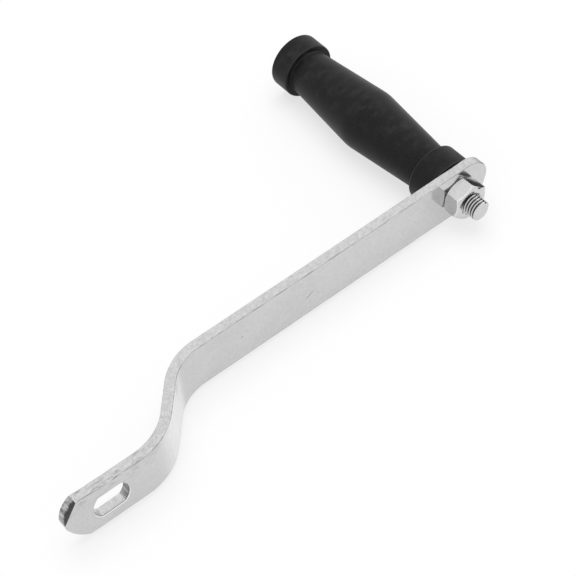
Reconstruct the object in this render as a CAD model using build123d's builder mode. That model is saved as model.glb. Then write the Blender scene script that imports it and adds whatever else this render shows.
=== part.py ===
from build123d import *

import os
from math import cos, radians, sin, sqrt, tan

# Crank handle for a hand winch: a flat steel bar with a double bend, a double-D hole
# at the hub end, and a black grip that spins on a through bolt at the other end.
#
# Millimetres, +Z up.  The origin is the centre of the double-D hole, on the face that
# seats against the winch.  +X runs along the bar towards the grip and +Y along the
# bolt, away from the winch.  Z is across the bar's width.

# ---- flat bar ----
bar_width = 25.4
bar_thickness = 4.76
bar_edge_radius = 0.4
crank_radius = 210.6  # double-D centre to the bolt's axis
hub_spread = 10.0  # punching the holes spread both ends of the bar from here outwards
end_spread = 168.0

# ---- double bend ----
offset_step = 29.1  # between the two straight runs of the bar
bend_angle = 48.0
bend_start = 16.0  # double-D centre to the start of the first bend
hub_bend_radius = 28.2  # both bends to the bar's mid-thickness
grip_bend_radius = 26.2

# ---- grip end, cropped a little off the bar's centre line like the hub end ----
end_reach = 17.3  # bolt to the tip
end_tip_height = 1.8
end_upper_corner = 6.4  # bolt to where the end meets the upper edge
end_lower_corner = 8.2
end_upper_half = 12.9  # half width of the bar at that corner
end_lower_half = 13.3
end_upper_arc = 11.1
end_lower_arc = 22.0

# ---- hub end ----
hub_reach = 21.8  # double-D centre to the tip
hub_tip_height = 1.5
hub_upper_corner = 15.4
hub_lower_corner = 12.2
hub_upper_half = 13.6
hub_lower_half = 12.4
hub_upper_arc = 13.0
hub_lower_arc = 24.6
tip_round = 9.0  # both ends
corner_round = 3.0
drive_diameter = 17.0  # double-D hole: its round part
drive_flats = 13.0  # and across its flats
drive_corner_round = 1.0
drive_lip_radius = 0.6  # rolled edge that the punch left
bolt_hole_play = 0.5  # on the diameter

# ---- bolt and nut, M10 ----
thread_diameter = 10.0
bolt_projection = 6.44  # past the nut, which makes the bolt 125 long
bolt_point = 0.6  # chamfer at the bolt's end
hex_flats = 17.0
hex_face_diameter = 15.4  # flat left on a hexagon's face inside its chamfer
hex_chamfer_angle = 30.0
head_height = 6.4
nut_height = 8.8
nut_turn = 20.7  # of a corner above the bar's length
nut_bore_play = 0.1  # on the diameter
nut_countersink = 0.8
washer_diameter = 20.0
washer_thickness = 2.0
washer_play = 0.5  # on the diameter

# ---- spacer tube that the grip turns on ----
tube_diameter = 13.0
tube_bore_play = 0.3  # on the diameter

# ---- grip, with lengths along the bolt from the bar ----
grip_length = 112.8
grip_running_play = 0.1  # on the diameter
grip_end_play = 0.3
collar_diameter = 28.2
near_collar_length = 13.1
far_collar_length = 11.2
rim_round = 0.8
neck_diameter = 22.2
neck_round = 0.4
belly_diameter = 30.8
belly_station = 57.2
belly_round = 25.0
recess_diameter = 21.0  # round the bolt's head
recess_depth = 9.8  # grip's end to the washer

# ---- worked out ----
half_width = bar_width / 2
hub_mid = bar_thickness / 2
grip_seat = offset_step + bar_thickness
bar_tip = crank_radius + end_reach
bend_drop = (hub_bend_radius + grip_bend_radius) * (1 - cos(radians(bend_angle)))
slope_length = (offset_step - bend_drop) / sin(radians(bend_angle))
nut_face = offset_step - nut_height
tube_length = grip_length - recess_depth
washer_seat = grip_seat + tube_length
head_seat = washer_seat + washer_thickness
bolt_length = head_seat - nut_face + bolt_projection
grip_start = grip_seat + grip_end_play / 2
grip_end = grip_seat + grip_length
recess_floor = washer_seat - grip_end_play / 2
hex_corner = hex_flats / sqrt(3)
hex_face = hex_face_diameter / 2
hex_slope = (hex_corner - hex_face) * tan(radians(hex_chamfer_angle))


# Half section through the bolt: local x is the radius and local y is along the bolt.
half_section = Plane((crank_radius, 0, 0))
bolt_axis = Axis((crank_radius, 0, 0), (0, 1, 0))


def on_bolt(y):
    """Plane square to the bolt at y, facing the nut, with local x along the bar."""
    return Plane((crank_radius, y, 0), x_dir=(1, 0, 0), z_dir=(0, -1, 0))


os.makedirs("parts", exist_ok=True)

# The bar's side view gives both bends.  Its plan then trims the two ends.
with BuildPart() as crank_arm:
    with BuildSketch(Plane.XY):
        with BuildLine():
            hub_run = Line((-hub_reach, hub_mid), (bend_start, hub_mid))
            hub_bend = JernArc(hub_run @ 1, hub_run % 1, hub_bend_radius, bend_angle)
            slope = PolarLine(hub_bend @ 1, slope_length, bend_angle)
            grip_bend = JernArc(slope @ 1, slope % 1, grip_bend_radius, -bend_angle)
            Line(grip_bend @ 1, (bar_tip, offset_step + hub_mid))
        trace(line_width=bar_thickness)
    extrude(amount=bar_width, both=True)

    with BuildSketch(Plane.XZ) as plan:
        with BuildLine():
            hub_tip = (-hub_reach, hub_tip_height)
            hub_upper = (-hub_upper_corner, hub_upper_half)
            hub_lower = (-hub_lower_corner, -hub_lower_half)
            end_tip = (bar_tip, end_tip_height)
            end_upper = (crank_radius + end_upper_corner, end_upper_half)
            end_lower = (crank_radius + end_lower_corner, -end_lower_half)
            RadiusArc(hub_upper, hub_tip, -hub_upper_arc)
            RadiusArc(hub_tip, hub_lower, -hub_lower_arc)
            lower_edge = Line((hub_spread, -half_width), (end_spread, -half_width))
            TangentArc(lower_edge @ 0, hub_lower, tangent=(-1, 0))
            TangentArc(lower_edge @ 1, end_lower, tangent=(1, 0))
            RadiusArc(end_lower, end_tip, -end_lower_arc)
            RadiusArc(end_tip, end_upper, -end_upper_arc)
            upper_edge = Line((hub_spread, half_width), (end_spread, half_width))
            TangentArc(upper_edge @ 0, hub_upper, tangent=(-1, 0))
            TangentArc(upper_edge @ 1, end_upper, tangent=(1, 0))
        make_face()
        corners = plan.vertices().sort_by(Axis.X)
        fillet([corners[0], corners[-1]], tip_round)
        fillet(corners[1:3] + corners[-3:-1], corner_round)
    extrude(amount=grip_seat, both=True, mode=Mode.INTERSECT)

    outline = crank_arm.edges().filter_by(Axis.Z, reverse=True)
    fillet(outline.filter_by(Axis.Y, reverse=True), bar_edge_radius)

    with BuildSketch(Plane.XZ) as drive_hole:
        Circle(drive_diameter / 2)
        Rectangle(drive_diameter, drive_flats, mode=Mode.INTERSECT)
        fillet(drive_hole.vertices(), drive_corner_round)
    extrude(amount=-bar_thickness, mode=Mode.SUBTRACT)
    drive_rim = crank_arm.edges(Select.LAST).filter_by(Plane.XZ)
    fillet(drive_rim.group_by(Axis.Y)[0], drive_lip_radius)

    with Locations(on_bolt(offset_step)):
        Hole((thread_diameter + bolt_hole_play) / 2)
crank_arm.part.label = "crank_arm"
export_step(crank_arm.part, "parts/crank_arm.step")

# Two collars with a straight-sided belly between them.
with BuildPart() as grip:
    bore = (tube_diameter + grip_running_play) / 2
    recess = recess_diameter / 2
    collar = collar_diameter / 2
    neck = neck_diameter / 2
    near_step = grip_seat + near_collar_length
    far_step = grip_end - far_collar_length
    profile = [  # radius, height and rounding of each corner
        (bore, grip_start, 0),
        (collar, grip_start, rim_round),
        (collar, near_step, rim_round),
        (neck, near_step, neck_round),
        (belly_diameter / 2, grip_seat + belly_station, belly_round),
        (neck, far_step, neck_round),
        (collar, far_step, rim_round),
        (collar, grip_end, rim_round),
        (recess, grip_end, rim_round),
        (recess, recess_floor, 0),
        (bore, recess_floor, 0),
    ]
    corners = [(radius, height) for radius, height, _ in profile]
    with BuildSketch(half_section):
        with BuildLine():
            FilletPolyline(corners, radius=[rounding for *_, rounding in profile], close=True)
        make_face()
    revolve(axis=bolt_axis)
grip.part.label = "grip"
export_step(grip.part, "parts/grip.step")

# The nut clamps the bar, this tube and the washer, so the grip itself stays free.
with BuildPart() as spacer_tube:
    with BuildSketch(on_bolt(washer_seat)):
        Circle(tube_diameter / 2)
        Circle((thread_diameter + tube_bore_play) / 2, mode=Mode.SUBTRACT)
    extrude(amount=tube_length)
spacer_tube.part.label = "spacer_tube"
export_step(spacer_tube.part, "parts/spacer_tube.step")

with BuildPart() as head_washer:
    with BuildSketch(on_bolt(head_seat)):
        Circle(washer_diameter / 2)
        Circle((thread_diameter + washer_play) / 2, mode=Mode.SUBTRACT)
    extrude(amount=washer_thickness)
head_washer.part.label = "head_washer"
export_step(head_washer.part, "parts/head_washer.step")

with BuildPart() as axle_bolt:
    with BuildSketch(on_bolt(head_seat + head_height)):
        RegularPolygon(hex_flats / 2, 6, major_radius=False)
    extrude(amount=head_height)
    with BuildSketch(half_section):
        with BuildLine():
            Polyline(
                (0, head_seat),
                (hex_corner, head_seat),
                (hex_corner, head_seat + head_height - hex_slope),
                (hex_face, head_seat + head_height),
                (0, head_seat + head_height),
                close=True,
            )
        make_face()
    revolve(axis=bolt_axis, mode=Mode.INTERSECT)
    with BuildSketch(on_bolt(head_seat)):
        Circle(thread_diameter / 2)
    extrude(amount=bolt_length)
    chamfer(axle_bolt.faces().sort_by(Axis.Y)[0].edges(), bolt_point)
axle_bolt.part.label = "axle_bolt"
export_step(axle_bolt.part, "parts/axle_bolt.step")

with BuildPart() as hex_nut:
    with BuildSketch(on_bolt(offset_step)):
        RegularPolygon(hex_flats / 2, 6, major_radius=False, rotation=nut_turn)
    extrude(amount=nut_height)
    with BuildSketch(half_section):
        with BuildLine():
            Polyline(
                (0, nut_face),
                (hex_face, nut_face),
                (hex_corner, nut_face + hex_slope),
                (hex_corner, offset_step - hex_slope),
                (hex_face, offset_step),
                (0, offset_step),
                close=True,
            )
        make_face()
    revolve(axis=bolt_axis, mode=Mode.INTERSECT)
    with Locations(on_bolt(offset_step)):
        Hole((thread_diameter + nut_bore_play) / 2)
    chamfer(hex_nut.edges(Select.LAST).filter_by(GeomType.CIRCLE), nut_countersink)
hex_nut.part.label = "hex_nut"
export_step(hex_nut.part, "parts/hex_nut.step")
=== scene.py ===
"""Crank handle for a hand winch: finishes, threads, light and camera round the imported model."""

from math import hypot, pi, radians, tan

import bpy
from mathutils import Euler, Matrix, Vector


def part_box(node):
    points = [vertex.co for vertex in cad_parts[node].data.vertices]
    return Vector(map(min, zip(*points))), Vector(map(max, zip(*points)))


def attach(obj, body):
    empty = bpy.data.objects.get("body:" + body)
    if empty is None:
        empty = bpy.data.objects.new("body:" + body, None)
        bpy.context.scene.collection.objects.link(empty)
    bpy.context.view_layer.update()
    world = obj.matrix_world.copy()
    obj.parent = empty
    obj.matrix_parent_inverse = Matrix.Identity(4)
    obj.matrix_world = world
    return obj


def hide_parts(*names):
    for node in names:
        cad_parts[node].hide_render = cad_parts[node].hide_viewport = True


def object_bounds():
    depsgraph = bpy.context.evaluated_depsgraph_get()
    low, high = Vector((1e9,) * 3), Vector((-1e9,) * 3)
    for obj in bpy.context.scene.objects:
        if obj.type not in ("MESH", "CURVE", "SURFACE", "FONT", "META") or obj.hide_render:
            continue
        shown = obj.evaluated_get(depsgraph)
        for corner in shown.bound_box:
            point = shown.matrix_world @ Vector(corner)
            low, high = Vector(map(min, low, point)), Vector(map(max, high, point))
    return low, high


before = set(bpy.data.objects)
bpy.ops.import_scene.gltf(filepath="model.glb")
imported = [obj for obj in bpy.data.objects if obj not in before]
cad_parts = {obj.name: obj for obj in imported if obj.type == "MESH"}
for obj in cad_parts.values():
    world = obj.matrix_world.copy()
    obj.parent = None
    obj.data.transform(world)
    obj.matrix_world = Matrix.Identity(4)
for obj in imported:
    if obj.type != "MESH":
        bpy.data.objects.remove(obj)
cad_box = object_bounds()

MM = 0.001

# ---- camera ----
camera_azimuth = -33.875  # degrees
camera_elevation = 50.894
camera_roll = -6.236
camera_distance = 0.71513
camera_target = Vector((0.11766, 0.03511, 0.00349))
camera_lens = 104.13

# ---- studio ----
ambient_level = 0.6
key_power = 12.0
key_size = 1.6
key_place = Vector((0.3, 0.2, 1.6))
side_power = 3.2  # small lamp that only shows in reflections
side_size = 0.5
side_place = Vector((1.2, 0.0, 0.72))
window_direction = Vector((-0.3, -0.52, 0.8)).normalized()  # brighter part of the walls
window_level = 1.65
window_edge = (0.93, 0.985)  # cosines at which it starts and is brightest
floor_size = 8.0
floor_grey = 0.35
floor_glow = 0.67  # what the camera sees on top of the floor's own shade
floor_shine = 0.64  # and what reflections see on top of it
flag_size = (0.085, 0.015)  # dark board past the bar's end, seen in reflections alone
flag_gap = 0.034
flag_grey = 0.12

# ---- M10 thread, right-handed ----
thread_pitch = 1.5 * MM
thread_major = 5.0 * MM  # radii
thread_middle = 4.513 * MM
thread_minor = 4.08 * MM
nut_clearance = 0.05 * MM
nut_minor = 4.2 * MM
flank_angle = radians(30)
thread_steps = 64  # facets round one turn
thread_round = 0.08 * MM
spare_turns = 2  # at each end of a threaded rod, before it is cut to length
point_chamfer = 0.6 * MM
mouth_chamfer = 0.8 * MM  # countersink of the nut's bore
nut_edge = 0.15 * MM
nut_edge_angle = radians(25)  # edges sharper than this are rounded
sharp_angle = radians(28)  # edges sharper than this stay sharp in the shading
merge_gap = 0.001 * MM
tolerance = 0.01 * MM  # for picking corners, edges and faces by their place

# ---- places on the bar, whose hole is centred at the origin ----
run_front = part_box("hex_nut")[1][1]  # face of the long run that the nut sits on
half_width = 12.7 * MM
edge_round = 0.4 * MM
plain_run = (10 * MM, 168 * MM)  # where the bar keeps its plain width, between its spread ends
tip_facing = (-0.827, 0.5625)  # X and Z, square to the sheared chord at the hub's tip
tip_chord = 19.83 * MM  # from the hole's centre, that way
tip_rise = (3 * MM, 10 * MM)  # heights between which the marks of the shearing set in
hole_reach = 9.2 * MM  # just past the hole's lip, along the bar and across it
hole_rise = 7.6 * MM
slope_run = (28 * MM, 48 * MM)  # from inside the first bend to the end of the slope

# Pits and scratches on the bar: centre, reach in MM, turn about Y in degrees, depth from 0 to 1.
bar_marks = (
    ((73.3 * MM, run_front, half_width), (0.7, 0.7, 0.6), 0, 0.8),
    ((87.7 * MM, run_front, 0.9 * MM), (0.7, 0.3, 0.6), 0, 0.7),
    ((90.5 * MM, run_front, 2.8 * MM), (0.4, 0.3, 0.8), 10, 0.4),
    ((124.5 * MM, run_front, -1.2 * MM), (3.6, 0.4, 0.7), -24, 0.5),
    ((129.2 * MM, run_front, -3.3 * MM), (0.6, 0.4, 0.9), 20, 0.4),
    ((14.1 * MM, 0, half_width), (0.6, 0.6, 0.6), 0, 0.6),
    ((3.6 * MM, 0, half_width - 0.2 * MM), (2.0, 0.5, 0.45), -4, 0.9),
)

# ---- grey levels of the finishes and of painted light and shade, darkest and lightest where they vary ----
face_greys = (0.585, 0.645)
edge_greys = (0.53, 0.76)
# painted reflection: the paler front of the slope
slope_reflection_grey = 0.83
# painted reflection: dark line along the long edges
edge_reflection_grey = 0.26
pit_grey = 0.2
scale_grey = 0.3
# painted shade in the crease beside the hole's lip
crease_shade_grey = 0.2
# painted shade on the hole's wall that faces -X
wall_shade_grey = 0.13
# painted shade on the hub's sheared tip
sheared_shade_grey = 0.07
# painted highlight on the hole's lip and the nut's edges
highlight_grey = 0.95
fastener_greys = (0.6, 0.68)
# painted shade in the roots of the threads
root_shade_grey = 0.05
tube_greys = (0.3, 0.42)
rubber_greys = (0.005, 0.011)
scuff_grey = 0.022
# painted highlight on the collars' rims
rim_highlight_grey = 0.045


# ---------------------------------------------------------------- modelling

def only(*objects):
    """Selects these objects alone, the last one active."""
    bpy.ops.object.select_all(action="DESELECT")
    for obj in objects:
        obj.select_set(True)
    bpy.context.view_layer.objects.active = objects[-1]


def named(name):
    """Names the object that was just added or copied."""
    bpy.context.object.name = name
    return bpy.context.object


def select_where(obj, kind, test):
    """In edit mode, selects the vertices, edges or faces that pass the test and nothing else."""
    bpy.ops.mesh.select_mode(type="VERT")
    bpy.ops.mesh.select_all(action="DESELECT")
    bpy.ops.mesh.select_mode(type=kind)
    bpy.ops.object.mode_set(mode="OBJECT")
    items = {"VERT": obj.data.vertices, "EDGE": obj.data.edges, "FACE": obj.data.polygons}[kind]
    for item in items:
        item.select = test(item)
    bpy.ops.object.mode_set(mode="EDIT")


def select_open_edges():
    """In edit mode, selects the edges that have a face on one side only."""
    bpy.ops.mesh.select_mode(type="EDGE")
    bpy.ops.mesh.select_all(action="DESELECT")
    bpy.ops.mesh.select_non_manifold()


def face_outwards():
    """In edit mode, turns every face of a closed mesh outwards."""
    bpy.ops.mesh.select_all(action="SELECT")
    bpy.ops.mesh.normals_make_consistent(inside=False)


def merge_corners():
    """In edit mode, makes corners that share a place one."""
    bpy.ops.mesh.select_all(action="SELECT")
    bpy.ops.mesh.remove_doubles(threshold=merge_gap)


def apply_modifier(obj, kind, **settings):
    only(obj)
    modifier = obj.modifiers.new(kind.lower(), kind)
    for key, value in settings.items():
        setattr(modifier, key, value)
    bpy.ops.object.modifier_apply(modifier=modifier.name)


def combine(obj, tool, operation):
    """Boolean of obj with tool, which is used up."""
    apply_modifier(obj, "BOOLEAN", operation=operation, object=tool, solver="EXACT")
    bpy.data.objects.remove(tool)


def settle(obj):
    """Puts the object at the origin with its place in its mesh."""
    only(obj)
    bpy.ops.object.transform_apply(location=True, rotation=True, scale=True)


def smooth(obj):
    only(obj)
    bpy.ops.object.shade_smooth_by_angle(angle=sharp_angle)


def copy_of(name, piece_name):
    """A merged copy of a node of the frame, to be worked on."""
    only(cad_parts[name])
    bpy.ops.object.duplicate()
    piece = named(piece_name)
    bpy.ops.mesh.customdata_custom_splitnormals_clear()
    bpy.ops.object.mode_set(mode="EDIT")
    merge_corners()
    face_outwards()
    bpy.ops.object.mode_set(mode="OBJECT")
    return piece


# ---------------------------------------------------------------- threads

def bolt_axis():
    """X and Z of the bolt's axis, which runs along Y."""
    low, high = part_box("axle_bolt")
    return (low[0] + high[0]) / 2, (low[2] + high[2]) / 2


def from_axis(point):
    """Distance of a point from the bolt's axis."""
    x, z = bolt_axis()
    return hypot(point[0] - x, point[2] - z)


def half_ridge(radius, middle):
    """Half the thickness of the thread's ridge at a radius."""
    return thread_pitch / 4 - (radius - middle) * tan(flank_angle)


def thread_rod(name, start, end, root, crest, middle):
    """Closed rod with a thread along the bolt's axis, cut square at start and end."""
    x, z = bolt_axis()
    turns = int((end - start) / thread_pitch) + 2 * spare_turns
    origin = start - spare_turns * thread_pitch
    wide, slim = half_ridge(root, middle), half_ridge(crest, middle)
    # One turn's profile, as steps away from the axis and along it.
    steps = (
        (0, thread_pitch / 2 - wide),
        (crest - root, wide - slim),
        (0, 2 * slim),
        (root - crest, wide - slim),
        (0, thread_pitch / 2 - wide),
    )
    bpy.ops.object.select_all(action="DESELECT")
    bpy.ops.mesh.primitive_plane_add(size=0.1 * MM, location=(x, origin, z))
    rod = named(name)
    bpy.ops.object.mode_set(mode="EDIT")
    bpy.ops.mesh.merge(type="CENTER")
    bpy.ops.transform.translate(value=(root, 0, 0))
    for out, along in steps:
        bpy.ops.mesh.extrude_region_move(TRANSFORM_OT_translate={"value": (out, along, 0)})
    # Its corners are rounded, apart from the two ends, which meet the next turns.
    ends = (0, thread_pitch)
    select_where(rod, "VERT", lambda v: min(abs(v.co.y - end) for end in ends) > tolerance)
    bpy.ops.mesh.bevel(affect="VERTICES", offset=thread_round, segments=2)
    bpy.ops.object.mode_set(mode="OBJECT")
    apply_modifier(
        rod, "SCREW", axis="Y", screw_offset=thread_pitch, iterations=turns,
        steps=thread_steps, render_steps=thread_steps, use_smooth_shade=False,
    )
    settle(rod)
    bpy.ops.object.mode_set(mode="EDIT")
    merge_corners()
    for place, side in ((start, -1), (end, 1)):
        bpy.ops.mesh.select_all(action="SELECT")
        bpy.ops.mesh.bisect(
            plane_co=(x, place, z), plane_no=(0, side, 0), use_fill=True, clear_outer=True,
        )
    face_outwards()
    bpy.ops.object.mode_set(mode="OBJECT")
    return rod


def turned(name, start, end, radius):
    """Plain round bar along the bolt's axis."""
    x, z = bolt_axis()
    bpy.ops.object.select_all(action="DESELECT")
    bpy.ops.mesh.primitive_cylinder_add(
        vertices=2 * thread_steps, radius=radius, depth=end - start,
        location=(x, (start + end) / 2, z), rotation=(pi / 2, 0, 0),
    )
    bar = named(name)
    settle(bar)
    return bar


def make_thread(point, run_out):
    """Threaded length of the bolt with its point chamfered, open at run_out."""
    thread = thread_rod(
        "thread", point - thread_pitch, run_out + thread_pitch,
        thread_minor, thread_major, thread_middle,
    )
    blank = turned("blank", point, run_out, thread_major + nut_clearance)
    bpy.ops.object.mode_set(mode="EDIT")
    select_where(blank, "EDGE", lambda e: all(
        abs(blank.data.vertices[v].co.y - point) < tolerance for v in e.vertices))
    bpy.ops.mesh.bevel(offset=point_chamfer + nut_clearance, segments=3, profile=0.6)
    bpy.ops.object.mode_set(mode="OBJECT")
    combine(thread, blank, "INTERSECT")
    only(thread)
    bpy.ops.object.mode_set(mode="EDIT")
    select_where(thread, "FACE", lambda f: f.center.y > run_out - tolerance)
    bpy.ops.mesh.delete(type="FACE")
    bpy.ops.object.mode_set(mode="OBJECT")
    return thread


def make_bolt():
    """The bolt of the frame, with its thread cut from the point to inside the bar's hole."""
    x, z = bolt_axis()
    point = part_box("axle_bolt")[0][1]
    run_out = run_front + thread_pitch
    shank_start = run_out + thread_pitch / 2
    thread = make_thread(point, run_out)

    bolt = copy_of("axle_bolt", "threaded_bolt")
    bpy.ops.object.mode_set(mode="EDIT")
    bpy.ops.mesh.select_all(action="SELECT")
    bpy.ops.mesh.bisect(plane_co=(x, shank_start, z), plane_no=(0, -1, 0), clear_outer=True)
    bpy.ops.object.mode_set(mode="OBJECT")
    only(thread, bolt)
    bpy.ops.object.join()
    bpy.ops.object.mode_set(mode="EDIT")
    select_open_edges()
    bpy.ops.mesh.bridge_edge_loops()
    face_outwards()
    bpy.ops.object.mode_set(mode="OBJECT")
    smooth(bolt)
    return bolt


def make_nut():
    """The nut of the frame, its bore filled and then cut with a thread and two countersinks."""
    low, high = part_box("hex_nut")
    front, back = low[1], high[1]
    x, z = bolt_axis()
    mouth = thread_major + mouth_chamfer + nut_clearance
    nut = copy_of("hex_nut", "threaded_nut")
    bpy.ops.object.mode_set(mode="EDIT")
    select_where(nut, "FACE", lambda f: all(
        from_axis(nut.data.vertices[v].co) < mouth + tolerance for v in f.vertices))
    bpy.ops.mesh.delete(type="FACE")
    select_open_edges()
    bpy.ops.mesh.edge_face_add()
    bpy.ops.object.mode_set(mode="OBJECT")
    apply_modifier(
        nut, "BEVEL", width=nut_edge, segments=3,
        limit_method="ANGLE", angle_limit=nut_edge_angle,
    )

    tap = thread_rod(
        "tap", front - thread_pitch, back + thread_pitch,
        nut_minor, thread_major + nut_clearance, thread_middle + nut_clearance,
    )
    combine(nut, tap, "DIFFERENCE")
    depth = mouth - nut_minor + nut_clearance
    wide = mouth + nut_clearance
    for face, inward in ((front, 1), (back, -1)):
        bpy.ops.object.select_all(action="DESELECT")
        bpy.ops.mesh.primitive_cone_add(
            vertices=2 * thread_steps, radius1=wide, radius2=wide - depth, depth=depth,
            location=(x, face + inward * (depth / 2 - nut_clearance), z),
            rotation=(-inward * pi / 2, 0, 0),
        )
        countersink = named("countersink")
        settle(countersink)
        combine(nut, countersink, "DIFFERENCE")
    smooth(nut)
    return nut


# ---------------------------------------------------------------- nodes

def add(tree, kind, inputs=None, **settings):
    """Adds a node, whose inputs are joined to sockets or set to values."""
    made = tree.nodes.new(kind)
    for key, value in settings.items():
        setattr(made, key, value)
    for key, value in (inputs or {}).items():
        if isinstance(value, bpy.types.NodeSocket):
            tree.links.new(value, made.inputs[key])
        else:
            made.inputs[key].default_value = value
    return made


def use(tree, group, inputs):
    return add(tree, "ShaderNodeGroup", inputs, node_tree=group).outputs


def calc(tree, operation, *values):
    return add(tree, "ShaderNodeMath", dict(enumerate(values)), operation=operation).outputs[0]


def product(tree, first, *others):
    for other in others:
        first = calc(tree, "MULTIPLY", first, other)
    return first


def step(tree, value, start, end, low=0.0, high=1.0):
    """Goes smoothly from low to high as value goes from start to end."""
    inputs = {"Value": value, "From Min": start, "From Max": end, "To Min": low, "To Max": high}
    made = add(tree, "ShaderNodeMapRange", inputs, interpolation_type="SMOOTHSTEP")
    return made.outputs["Result"]


def band(tree, value, start, full, fall, end):
    """1 between full and fall, and 0 outside start and end."""
    return product(tree, step(tree, value, start, full), step(tree, value, fall, end, 1, 0))


def coordinates(tree, kind="Object"):
    return tree.nodes.new("ShaderNodeTexCoord").outputs[kind]


def split(tree, vector):
    """X, Y and Z of a vector."""
    return add(tree, "ShaderNodeSeparateXYZ", {0: vector}).outputs


def length(tree, vector):
    return add(tree, "ShaderNodeVectorMath", {0: vector}, operation="LENGTH").outputs["Value"]


def noise(tree, where, scale, detail=2.0, roughness=0.5):
    inputs = {"Vector": where, "Scale": scale, "Detail": detail, "Roughness": roughness}
    return add(tree, "ShaderNodeTexNoise", inputs).outputs["Fac"]


def drawn_out(tree, where, scale):
    """Place scaled by axis: a pattern on it is longer where the scale is under 1."""
    return add(tree, "ShaderNodeMapping", {"Vector": where, "Scale": scale}).outputs["Vector"]


def grey(level):
    return (level, level, level, 1)


def blend(tree, factor, low, high):
    """Colour from low to high, each one a colour's socket or a grey level."""
    low, high = (grey(end) if isinstance(end, float) else end for end in (low, high))
    inputs = {"Factor": factor, 6: low, 7: high}
    return add(tree, "ShaderNodeMix", inputs, data_type="RGBA").outputs[2]


def new_group(name, inputs, outputs):
    """Node group with float or vector inputs and float outputs: its tree, way in and way out."""
    tree = bpy.data.node_groups.new(name, "ShaderNodeTree")
    for socket, kind in inputs.items():
        tree.interface.new_socket(socket, in_out="INPUT", socket_type=kind)
    for socket in outputs:
        tree.interface.new_socket(socket, in_out="OUTPUT", socket_type="NodeSocketFloat")
    return tree, tree.nodes.new("NodeGroupInput"), tree.nodes.new("NodeGroupOutput")


def mottle_group():
    """Plating's cloudiness and grain: Shade and Height from 0 to 1."""
    sockets = {"Grain scale": "NodeSocketFloat", "Cloud scale": "NodeSocketFloat"}
    tree, way_in, way_out = new_group("plating_mottle", sockets, ("Shade", "Height"))
    where = coordinates(tree)
    grain = noise(tree, where, way_in.outputs["Grain scale"], detail=3, roughness=0.6)
    cloud = noise(tree, where, way_in.outputs["Cloud scale"])
    both = calc(tree, "ADD", product(tree, grain, 0.6), product(tree, cloud, 0.4))
    tree.links.new(step(tree, both, 0.3, 0.7), way_out.inputs["Shade"])
    tree.links.new(grain, way_out.inputs["Height"])
    return tree


def mark_group():
    """One dent, pit or scratch: 1 inside an uneven oval of that Reach round Centre."""
    sockets = {key: "NodeSocketVector" for key in ("Centre", "Turn", "Reach")}
    tree, way_in, way_out = new_group("mark", sockets, ("Mask",))
    where = coordinates(tree)
    local = add(tree, "ShaderNodeMapping", {
        "Vector": where, "Location": way_in.outputs["Centre"],
        "Rotation": way_in.outputs["Turn"], "Scale": way_in.outputs["Reach"],
    }, vector_type="TEXTURE").outputs["Vector"]
    uneven = calc(tree, "MULTIPLY_ADD", noise(tree, where, 1800), 0.9, length(tree, local))
    tree.links.new(step(tree, uneven, 0.95, 1.4, 1, 0), way_out.inputs["Mask"])
    return tree


# ---------------------------------------------------------------- materials

def new_material(name):
    material = bpy.data.materials.new(name)
    material.use_nodes = True
    tree = material.node_tree
    return material, tree, tree.nodes["Principled BSDF"]


def set_finish(tree, skin, colour, rough, metal=0.0):
    tree.links.new(colour, skin.inputs["Base Color"])
    tree.links.new(rough, skin.inputs["Roughness"])
    skin.inputs["Metallic"].default_value = metal


def matt(skin, level, rough):
    """Plain finish with no shine."""
    skin.inputs["Base Color"].default_value = grey(level)
    skin.inputs["Roughness"].default_value = rough
    skin.inputs["Specular IOR Level"].default_value = 0.0


def emboss(tree, skin, height, depth):
    """Bump of that depth in metres."""
    bump = add(tree, "ShaderNodeBump", {"Height": height, "Distance": depth})
    tree.links.new(bump.outputs["Normal"], skin.inputs["Normal"])


def edge_reflection_lines(tree, where, x, z, flatness):
    """A dark line of painted reflection, broken in patches, that follows each long edge."""
    first, last = plain_run
    along = band(tree, x, first - MM, first + MM, last, last + MM)
    beside = band(
        tree, calc(tree, "ABSOLUTE", z),
        half_width - edge_round - 0.2 * MM, half_width - edge_round,
        half_width - 0.1 * MM, half_width - 0.01 * MM,
    )
    rounded = band(tree, flatness, 0.25, 0.45, 0.8, 0.97)
    straight = product(tree, along, beside)
    line = calc(tree, "MAXIMUM", straight, product(tree, calc(tree, "SUBTRACT", 1, along), rounded))
    patches = step(tree, noise(tree, drawn_out(tree, where, (0.35, 1, 1)), 500), 0.42, 0.6)
    return product(tree, line, step(tree, patches, 0, 1, 0.35, 1))


def sheared_tip_shade(tree, where, x, y, z):
    """The upper part of the hub's sheared tip is dull and dragged, and painted shade darkens it,
    most at its front.

    Gives the mask and the drag marks.
    """
    facing_x, facing_z = tip_facing
    chord = calc(tree, "ADD", product(tree, x, facing_x), product(tree, z, facing_z))
    on_tip = step(tree, chord, tip_chord, tip_chord + 0.17 * MM)
    drag = noise(tree, drawn_out(tree, where, (1, 0.12, 1)), 1500, detail=3)
    reach = step(tree, z, *tip_rise, 0.1 * MM, 1.3 * MM)
    reach = calc(tree, "MULTIPLY_ADD", calc(tree, "SUBTRACT", drag, 0.4), 4 * MM, reach)
    front = step(tree, calc(tree, "SUBTRACT", y, reach), -0.5 * MM, 1.1 * MM, 1, 0)
    dragged = step(tree, drag, 0.38, 0.62, 0.15, 0.85)
    return product(tree, on_tip, calc(tree, "MAXIMUM", dragged, front)), drag


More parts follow.
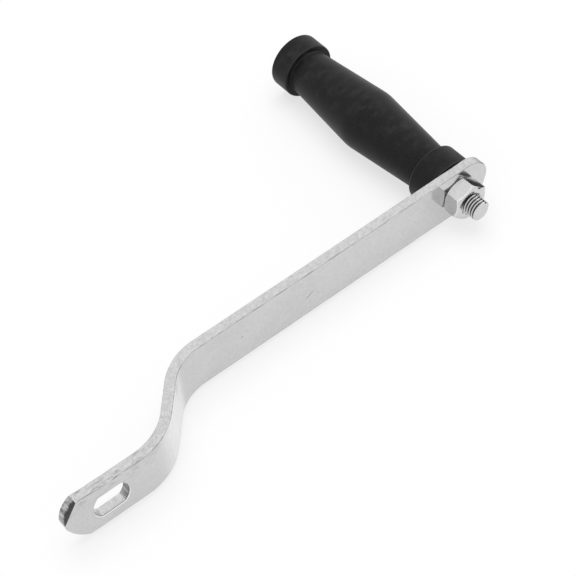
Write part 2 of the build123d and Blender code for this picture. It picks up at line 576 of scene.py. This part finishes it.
def hole_shade_and_highlight(tree, where, x, z, facing_x, flatness, on_edge):
    """On the punched hole: painted shade, streaked, on the one round wall that faces -X, a painted
    highlight on the lip, and painted shade in the crease where the lip turns into the wall.

    Gives the masks of wall, lip and crease.
    """
    within_x = step(tree, calc(tree, "ABSOLUTE", x), hole_reach, hole_reach + 0.3 * MM, 1, 0)
    within_z = step(tree, calc(tree, "ABSOLUTE", z), hole_rise, hole_rise + 0.4 * MM, 1, 0)
    inside = product(tree, within_x, within_z)
    streaks = noise(tree, drawn_out(tree, where, (1, 0.08, 1)), 1300)
    streaks = step(tree, streaks, 0.4, 0.62, 0.55, 1)
    wall = product(tree, inside, on_edge, step(tree, facing_x, -0.35, -0.8), streaks)
    lip = product(tree, inside, band(tree, flatness, 0.45, 0.6, 0.85, 0.97))
    crease = product(tree, inside, band(tree, flatness, 0.02, 0.08, 0.35, 0.5))
    return wall, lip, crease


def dragged_scale(tree, where, x, z):
    """Scale that the shearing dragged along the hub's upper edge."""
    reach = product(tree, step(tree, z, *tip_rise), step(tree, x, 18 * MM, 34 * MM, 1, 0.12))
    scale = noise(tree, drawn_out(tree, where, (0.22, 1, 1)), 900, detail=4, roughness=0.7)
    return product(tree, reach, step(tree, scale, 0.5, 0.68))


def pits_and_scratches(tree, mark):
    pitted = 0.0
    for centre, reach, turn, depth in bar_marks:
        mask = use(tree, mark, {
            "Centre": centre, "Turn": (0, radians(turn), 0),
            "Reach": tuple(size * MM for size in reach),
        })["Mask"]
        pitted = calc(tree, "MAXIMUM", pitted, product(tree, mask, depth))
    return pitted


def slope_reflection(tree, where, x, facing_x, facing_y):
    """The slope's front is paler, a painted reflection, with fine lines."""
    onset = step(tree, x, *slope_run, 0.25, 0.5)
    tilted = step(tree, calc(tree, "ABSOLUTE", facing_x), onset, 0.68)
    in_front = step(tree, facing_y, -0.6, -0.66)
    lines = noise(tree, drawn_out(tree, where, (1, 1, 0.1)), 1200)
    return product(tree, tilted, in_front, step(tree, lines, 0.3, 0.6, 0.7, 1))


def bar_plating(mottle, mark):
    """Bright plating on flat bar: rougher on its cut edges, dull where its ends were sheared, with
    painted light and shade on its sheared tip, hole, long edges and slope.
    """
    material, tree, skin = new_material("bar_plating")
    where = coordinates(tree)
    x, y, z = split(tree, where)
    facing_x, facing_y, _ = split(tree, coordinates(tree, "Normal"))
    flatness = calc(tree, "ABSOLUTE", facing_y)
    on_edge = step(tree, flatness, 0.6, 0.3)

    face = use(tree, mottle, {"Grain scale": 700, "Cloud scale": 60})
    edge = use(tree, mottle, {"Grain scale": 1500, "Cloud scale": 600})
    pitted = pits_and_scratches(tree, mark)
    sheared_shade, drag = sheared_tip_shade(tree, where, x, y, z)
    wall, lip, crease = hole_shade_and_highlight(tree, where, x, z, facing_x, flatness, on_edge)
    slope = slope_reflection(tree, where, x, facing_x, facing_y)

    clean = blend(tree, face["Shade"], *face_greys)
    # Painted reflection: the slope's front is paler.
    clean = blend(tree, slope, clean, slope_reflection_grey)
    colour = blend(tree, on_edge, clean, blend(tree, edge["Shade"], *edge_greys))
    for mask, strength, level in (
        # painted reflection along the long edges
        (edge_reflection_lines(tree, where, x, z, flatness), 0.8, edge_reflection_grey),
        (pitted, 0.7, pit_grey),
        (dragged_scale(tree, where, x, z), 0.65, scale_grey),
        # painted shade in the crease
        (crease, 0.8, crease_shade_grey),
        # painted highlight on the lip
        (lip, 0.8, highlight_grey),
        # painted shade on the wall
        (wall, 1, wall_shade_grey),
        # painted shade on the sheared tip
        (sheared_shade, 1, sheared_shade_grey),
    ):
        colour = blend(tree, product(tree, mask, strength), colour, level)

    gloss = step(tree, face["Shade"], 0, 1, 0.17, 0.1)
    edge_rough = step(tree, x, 170 * MM, 200 * MM, 0.28, 0.42)
    rough = calc(tree, "MAXIMUM", gloss, product(tree, on_edge, edge_rough))
    rough = calc(tree, "MAXIMUM", rough, product(tree, sheared_shade, 0.4))
    set_finish(tree, skin, colour, rough, metal=1.0)

    relief = calc(tree, "MULTIPLY_ADD", edge["Height"], on_edge, product(tree, face["Height"], 0.2))
    relief = calc(tree, "SUBTRACT", relief, product(tree, pitted, 2))
    relief = calc(tree, "ADD", relief, product(tree, sheared_shade, drag, 2))
    emboss(tree, skin, relief, 0.03 * MM)
    return material


def fastener_plating(mottle):
    """Bright plating on the bolt, nut and washer, with painted shade in the roots of the threads.
    """
    material, tree, skin = new_material("fastener_plating")
    where = coordinates(tree)
    axis_x, axis_z = bolt_axis()
    centred = add(tree, "ShaderNodeMapping", {
        "Vector": where, "Location": (-axis_x, 0, -axis_z),
    }).outputs["Vector"]
    across = add(tree, "ShaderNodeVectorMath", {0: centred, 1: (1, 0, 1)}, operation="MULTIPLY")
    radius = length(tree, across.outputs["Vector"])
    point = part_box("axle_bolt")[0][1]
    threaded = band(
        tree, split(tree, where)[1],
        point + 0.1 * MM, point + 0.6 * MM, run_front, run_front + 2 * MM,
    )
    root = step(tree, radius, thread_minor + 0.15 * MM, thread_major, 1, 0)
    # Painted shade in the roots of the threads, which are also rougher.
    root_shade = product(tree, root, threaded)

    # Painted highlight on the nut's rounded edges.
    tilt = calc(tree, "ABSOLUTE", split(tree, coordinates(tree, "Normal"))[1])
    mouth = thread_major + mouth_chamfer
    outside = step(tree, radius, mouth, mouth + 0.3 * MM)
    edge_highlight = product(tree, outside, band(tree, tilt, 0.06, 0.2, 0.75, 0.84))

    face = use(tree, mottle, {"Grain scale": 900, "Cloud scale": 180})
    colour = blend(tree, face["Shade"], *fastener_greys)
    # painted highlight on the nut's edges
    colour = blend(tree, edge_highlight, colour, highlight_grey)
    colour = blend(tree, product(tree, root_shade, 0.95), colour, root_shade_grey)
    gloss = step(tree, face["Shade"], 0, 1, 0.16, 0.09)
    rough = calc(tree, "MAXIMUM", gloss, product(tree, root_shade, 0.4))
    set_finish(tree, skin, colour, rough, metal=1.0)
    emboss(tree, skin, face["Height"], 0.006 * MM)
    return material


def drawn_steel(mottle):
    """Bare tube, dull, with fine lines along its length."""
    material, tree, skin = new_material("drawn_steel")
    lines = noise(tree, drawn_out(tree, coordinates(tree), (1, 0.03, 1)), 2500, detail=3)
    cloud = use(tree, mottle, {"Grain scale": 500, "Cloud scale": 90})
    colour = blend(tree, cloud["Shade"], *tube_greys)
    set_finish(tree, skin, colour, step(tree, lines, 0.3, 0.7, 0.28, 0.42), metal=1.0)
    emboss(tree, skin, lines, 0.01 * MM)
    return material


def grip_rubber():
    """Satin black moulding with a fine grain, slightly scuffed, its collars' rims paler with a
    painted highlight.
    """
    material, tree, skin = new_material("grip_rubber")
    where = coordinates(tree)
    grain = noise(tree, where, 2600)
    cloud = noise(tree, drawn_out(tree, where, (1, 0.5, 1)), 70, detail=3, roughness=0.6)
    scuffs = noise(tree, drawn_out(tree, where, (0.6, 1, 0.6)), 240, detail=3, roughness=0.6)
    scuffs = product(tree, step(tree, scuffs, 0.42, 0.7), step(tree, cloud, 0.35, 0.65))
    specks = step(tree, noise(tree, where, 1500), 0.35, 0.7)
    tilt = calc(tree, "ABSOLUTE", split(tree, coordinates(tree, "Normal"))[1])
    rim_highlight = band(tree, tilt, 0.1, 0.45, 0.7, 0.97)
    colour = blend(tree, specks, *rubber_greys)
    colour = blend(tree, scuffs, colour, scuff_grey)
    # painted highlight on the collars' rims
    colour = blend(tree, product(tree, rim_highlight, 0.65), colour, rim_highlight_grey)
    rough = calc(tree, "MULTIPLY_ADD", scuffs, 0.08, step(tree, cloud, 0.3, 0.7, 0.4, 0.48))
    set_finish(tree, skin, colour, rough)
    skin.inputs["Specular IOR Level"].default_value = 0.17
    skin.inputs["Sheen Weight"].default_value = 0.07
    skin.inputs["Sheen Roughness"].default_value = 0.4
    emboss(tree, skin, calc(tree, "MULTIPLY_ADD", cloud, 2, grain), 0.012 * MM)
    return material


def coat(name, material):
    """Gives a node of the frame its finish."""
    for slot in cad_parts[name].material_slots:
        slot.material = material


def fit_piece(piece, body, replaced, material):
    """Gives a piece made here its finish, hangs it on its body and hides the node it replaces."""
    piece.data.materials.clear()
    piece.data.materials.append(material)
    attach(piece, body)
    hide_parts(replaced)


# ---------------------------------------------------------------- studio

def place_camera():
    tilt = Euler((radians(90 - camera_elevation), 0, radians(camera_azimuth))).to_matrix()
    turn = tilt @ Matrix.Rotation(radians(camera_roll), 3, "Z")
    camera = bpy.data.objects.new("camera", bpy.data.cameras.new("camera"))
    camera.matrix_world = turn.to_4x4()
    camera.location = camera_target + turn @ Vector((0, 0, camera_distance))
    camera.data.lens = camera_lens
    bpy.context.scene.collection.objects.link(camera)
    bpy.context.scene.camera = camera


def light_softbox(name, place, size, power, mirrored_in=()):
    """Round lamp aimed at the camera's target.

    It lights everything and shows in no reflection, or it only shows in those objects.
    """
    lamp = bpy.data.lights.new(name, "AREA")
    lamp.shape = "DISK"
    lamp.size = size
    lamp.energy = power
    box = bpy.data.objects.new(name, lamp)
    box.location = place
    box.rotation_euler = (place - camera_target).to_track_quat("Z", "Y").to_euler()
    box.visible_glossy = bool(mirrored_in)
    box.visible_diffuse = not mirrored_in
    if mirrored_in:
        targets = bpy.data.collections.new(name + "_targets")
        for obj in mirrored_in:
            targets.objects.link(obj)
        box.light_linking.receiver_collection = targets
    bpy.context.scene.collection.objects.link(box)


def set_world():
    """White background, also in reflections, that lights the scene a little less.

    Reflections also show a brighter window.
    """
    world = bpy.data.worlds.new("studio")
    world.use_nodes = True
    bpy.context.scene.world = world
    tree = world.node_tree
    rays = tree.nodes.new("ShaderNodeLightPath").outputs
    shown = calc(tree, "MAXIMUM", rays["Is Camera Ray"], rays["Is Glossy Ray"])
    shown = calc(tree, "MAXIMUM", shown, rays["Is Transmission Ray"])
    sky = tree.nodes["Background"]
    sky.inputs["Color"].default_value = grey(1)
    towards = add(
        tree, "ShaderNodeVectorMath", {0: coordinates(tree, "Generated"), 1: window_direction},
        operation="DOT_PRODUCT",
    ).outputs["Value"]
    lit = step(tree, towards, *window_edge, 1, window_level)
    mirrored = calc(tree, "SUBTRACT", shown, rays["Is Camera Ray"])
    extra = product(tree, mirrored, calc(tree, "SUBTRACT", lit, 1))
    plain = step(tree, shown, 0, 1, ambient_level, 1)
    tree.links.new(calc(tree, "ADD", plain, extra), sky.inputs["Strength"])


def lay_floor():
    """Floor under the part, which glows enough to look white."""
    bpy.ops.object.select_all(action="DESELECT")
    bpy.ops.mesh.primitive_plane_add(size=floor_size, location=(0, 0, cad_box[0][2]))
    floor = named("floor")
    paper, tree, skin = new_material("pale_paper")
    matt(skin, floor_grey, 0.9)
    skin.inputs["Emission Color"].default_value = grey(1)
    rays = tree.nodes.new("ShaderNodeLightPath").outputs
    mirrored = calc(tree, "MAXIMUM", rays["Is Glossy Ray"], rays["Is Transmission Ray"])
    seen = product(tree, rays["Is Camera Ray"], floor_glow)
    glow = calc(tree, "MULTIPLY_ADD", mirrored, floor_shine, seen)
    tree.links.new(glow, skin.inputs["Emission Strength"])
    floor.data.materials.append(paper)


def stand_flag():
    """Dark board on the floor that gives the nut and the thread something to reflect."""
    bar_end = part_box("crank_arm")[1][0]
    nut_low, nut_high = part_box("hex_nut")
    width, height = flag_size
    where = (bar_end + flag_gap, (nut_low[1] + nut_high[1]) / 2, cad_box[0][2] + height / 2)
    bpy.ops.object.select_all(action="DESELECT")
    bpy.ops.mesh.primitive_plane_add(size=1, location=where, rotation=(0, pi / 2, 0))
    flag = named("flag")
    flag.scale = (height, width, 1)
    board, _, skin = new_material("dark_board")
    matt(skin, flag_grey, 1.0)
    flag.data.materials.append(board)
    flag.visible_camera = False
    flag.visible_diffuse = False
    flag.visible_shadow = False


# ---------------------------------------------------------------- assembly

bpy.context.scene.view_settings.view_transform = "Standard"
place_camera()
set_world()
light_softbox("key_light", key_place, key_size, key_power)
lay_floor()
stand_flag()

mottle = mottle_group()
fasteners = fastener_plating(mottle)
coat("crank_arm", bar_plating(mottle, mark_group()))
coat("head_washer", fasteners)
coat("spacer_tube", drawn_steel(mottle))
coat("grip", grip_rubber())
bolt, nut = make_bolt(), make_nut()
fit_piece(bolt, "arm_body", "axle_bolt", fasteners)
fit_piece(nut, "arm_body", "hex_nut", fasteners)
shiny = (bolt, nut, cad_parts["grip"])
light_softbox("side_light", side_place, side_size, side_power, mirrored_in=shiny)
